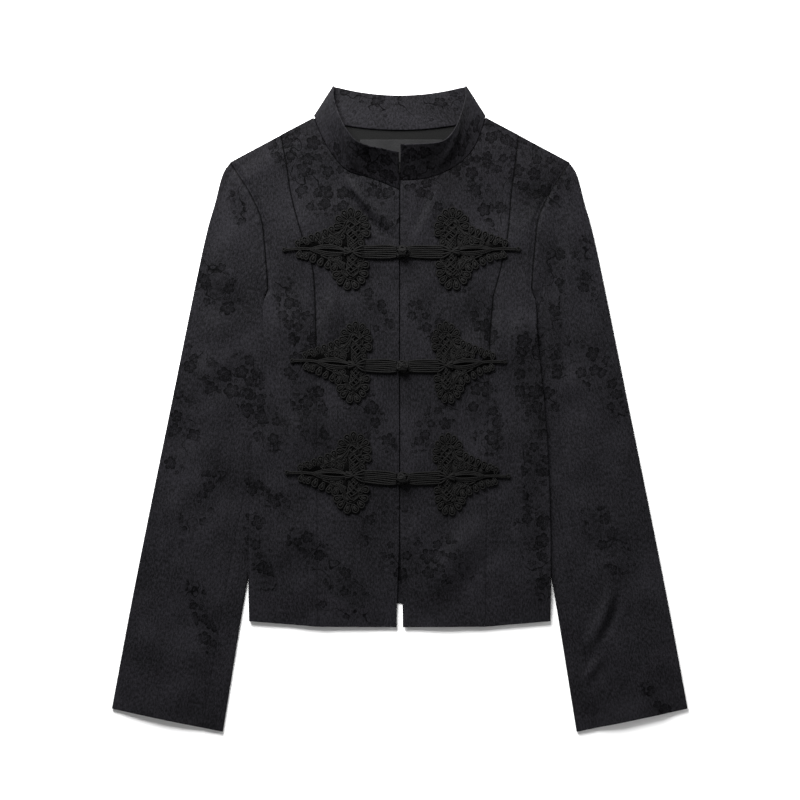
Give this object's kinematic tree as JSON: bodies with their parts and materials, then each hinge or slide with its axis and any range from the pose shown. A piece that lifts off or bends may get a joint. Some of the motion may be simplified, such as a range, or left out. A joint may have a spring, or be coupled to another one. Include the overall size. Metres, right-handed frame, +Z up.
{
  "type": "tang jacket",
  "caption": "Cropped stand-collar jacket of black jacquard satin with corded frog fastenings, laid flat with its front up.",
  "frame": {"origin": "centre of the bounding box's bottom, on the surface that the jacket lies on", "axes": "+Z up through the laid cloth, +Y from the hem to the collar along the centre front, +X to the wearer's left sleeve"},
  "size_m": [0.633, 0.71, 0.0246],
  "materials": {
    "jacquard": "charcoal crepe satin with darker matt plum blossom jacquard, soft sheen",
    "facing": "plain black twill facing",
    "label": "plain grey woven satin, bare",
    "cord": "matt black corded braid"
  },
  "bodies": {
    "root": {"back": "jacquard", "front_centre_right": "jacquard", "front_side_right": "jacquard", "sleeve_upper_right": "jacquard", "sleeve_under_right": "jacquard", "front_centre_left": "jacquard", "front_side_left": "jacquard", "sleeve_upper_left": "jacquard", "sleeve_under_left": "jacquard", "collar": "jacquard", "back_neck_facing": "facing", "neck_label": "label", "frog_upper_right": "cord", "frog_upper_left": "cord", "knot_upper": "cord", "frog_middle_right": "cord", "frog_middle_left": "cord", "knot_middle": "cord", "frog_lower_right": "cord", "frog_lower_left": "cord", "knot_lower": "cord"}
  },
  "joints": []
}
